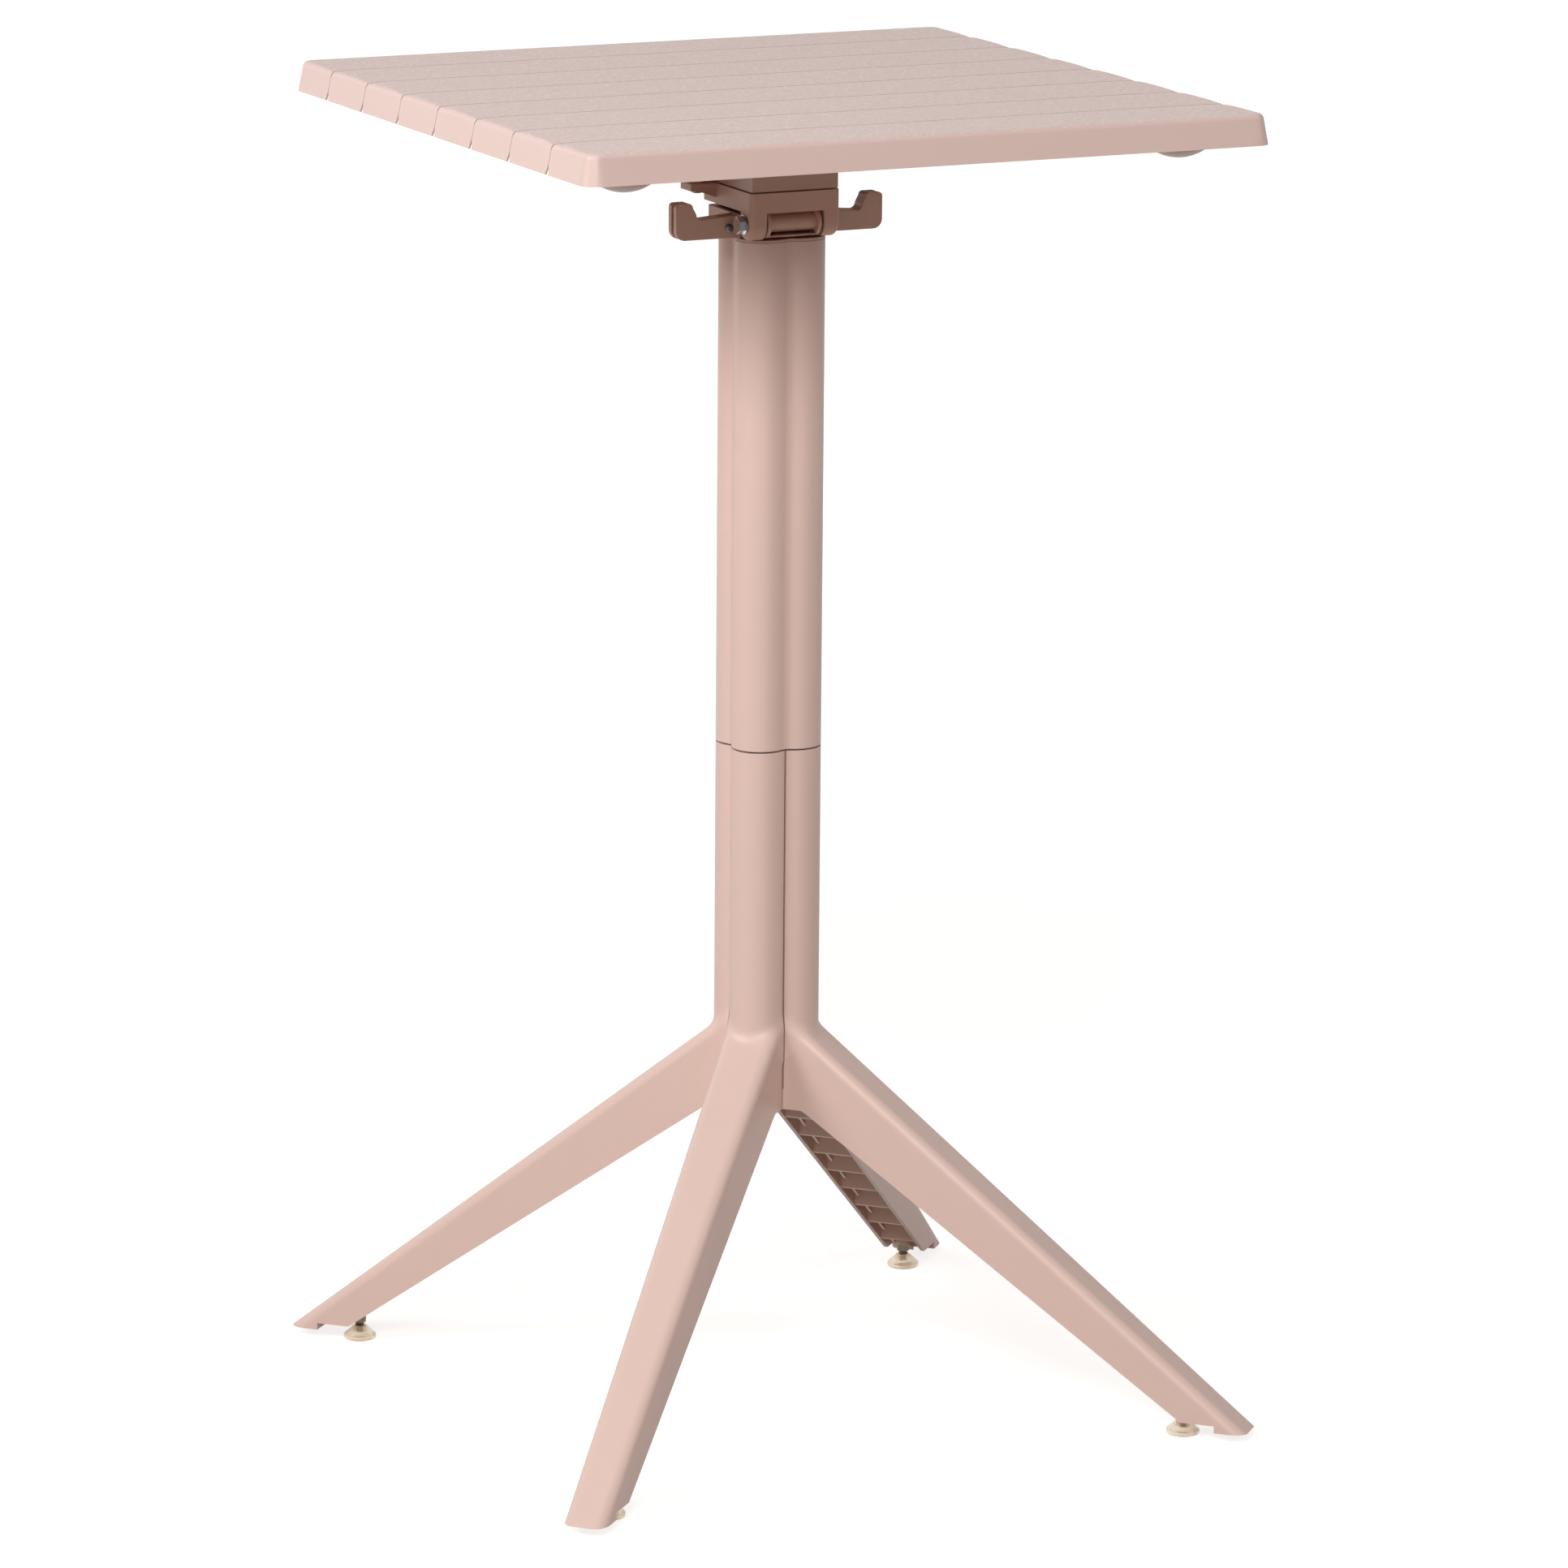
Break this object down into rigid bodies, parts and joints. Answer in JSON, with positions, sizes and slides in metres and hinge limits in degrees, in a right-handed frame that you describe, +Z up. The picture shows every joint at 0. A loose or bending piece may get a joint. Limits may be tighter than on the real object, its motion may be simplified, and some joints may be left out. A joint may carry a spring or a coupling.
{
  "type": "outdoor bar table",
  "caption": "Tall square plastic bar table with a slatted top that tilts up on a forked bracket, bag hooks under it, a lobed column and splayed legs on screw feet.",
  "frame": {"origin": "on the floor under the axis of the column, which is the middle of the foot of the part's box", "axes": "+Z up, X along the planks and the tilt bolt, and -Y towards the front edge, which tilts down"},
  "size_m": [0.623, 0.623, 1.105],
  "materials": {
    "top_plastic": "fine matt",
    "column_plastic": "fine matt",
    "head_plastic": "matt",
    "dark_plastic": "matt",
    "pad_plastic": "smooth",
    "zinc_steel": "zinc plated",
    "bright_steel": "polished",
    "tube_metal": "mill",
    "insert_brass": "turned"
  },
  "bodies": {
    "base": {"upper_column": "column_plastic", "joining_collar": "dark_plastic", "core_tube": "tube_metal", "core_cap": "dark_plastic", "tie_rod": "zinc_steel", "tie_rod_nuts": "zinc_steel", "tie_rod_washer": "zinc_steel", "clamp_plate": "zinc_steel", "foot_inserts": "insert_brass", "column_head": "head_plastic", "hook_left": "head_plastic", "hook_right": "head_plastic", "hook_screws": "zinc_steel", "friction_washers": "dark_plastic", "leg_front_left": "column_plastic", "leg_front_right": "column_plastic", "leg_back_left": "column_plastic", "leg_back_right": "column_plastic"},
    "top": {"table_top": "top_plastic", "tilt_bracket": "head_plastic", "bracket_screws": "zinc_steel", "pivot_bolt": "bright_steel", "pivot_nut": "bright_steel", "pivot_washers": "bright_steel", "latch_pin": "zinc_steel"},
    "latch": {"latch_lever": "head_plastic"},
    "foot_front_left": {"foot_stem_front_left": "zinc_steel", "foot_pad_front_left": "pad_plastic"},
    "foot_front_right": {"foot_stem_front_right": "zinc_steel", "foot_pad_front_right": "pad_plastic"},
    "foot_back_left": {"foot_stem_back_left": "zinc_steel", "foot_pad_back_left": "pad_plastic"},
    "foot_back_right": {"foot_stem_back_right": "zinc_steel", "foot_pad_back_right": "pad_plastic"}
  },
  "joints": [
    {"name": "top_tilt", "type": "hinge", "parent": "base", "child": "top", "pos_m": [0, -0.032, 0.998], "axis": [1, 0, 0], "range_deg": [0, 90]},
    {"name": "latch_swing", "type": "hinge", "parent": "top", "child": "latch", "pos_m": [0, 0.058, 1.012], "axis": [1, 0, 0], "range_deg": [-22, 0]},
    {"name": "foot_front_left_screw", "type": "slide", "parent": "base", "child": "foot_front_left", "axis": [0, 0, -1], "range_m": [-0.003, 0.01]},
    {"name": "foot_front_right_screw", "type": "slide", "parent": "base", "child": "foot_front_right", "axis": [0, 0, -1], "range_m": [-0.003, 0.01]},
    {"name": "foot_back_left_screw", "type": "slide", "parent": "base", "child": "foot_back_left", "axis": [0, 0, -1], "range_m": [-0.003, 0.01]},
    {"name": "foot_back_right_screw", "type": "slide", "parent": "base", "child": "foot_back_right", "axis": [0, 0, -1], "range_m": [-0.003, 0.01]}
  ]
}
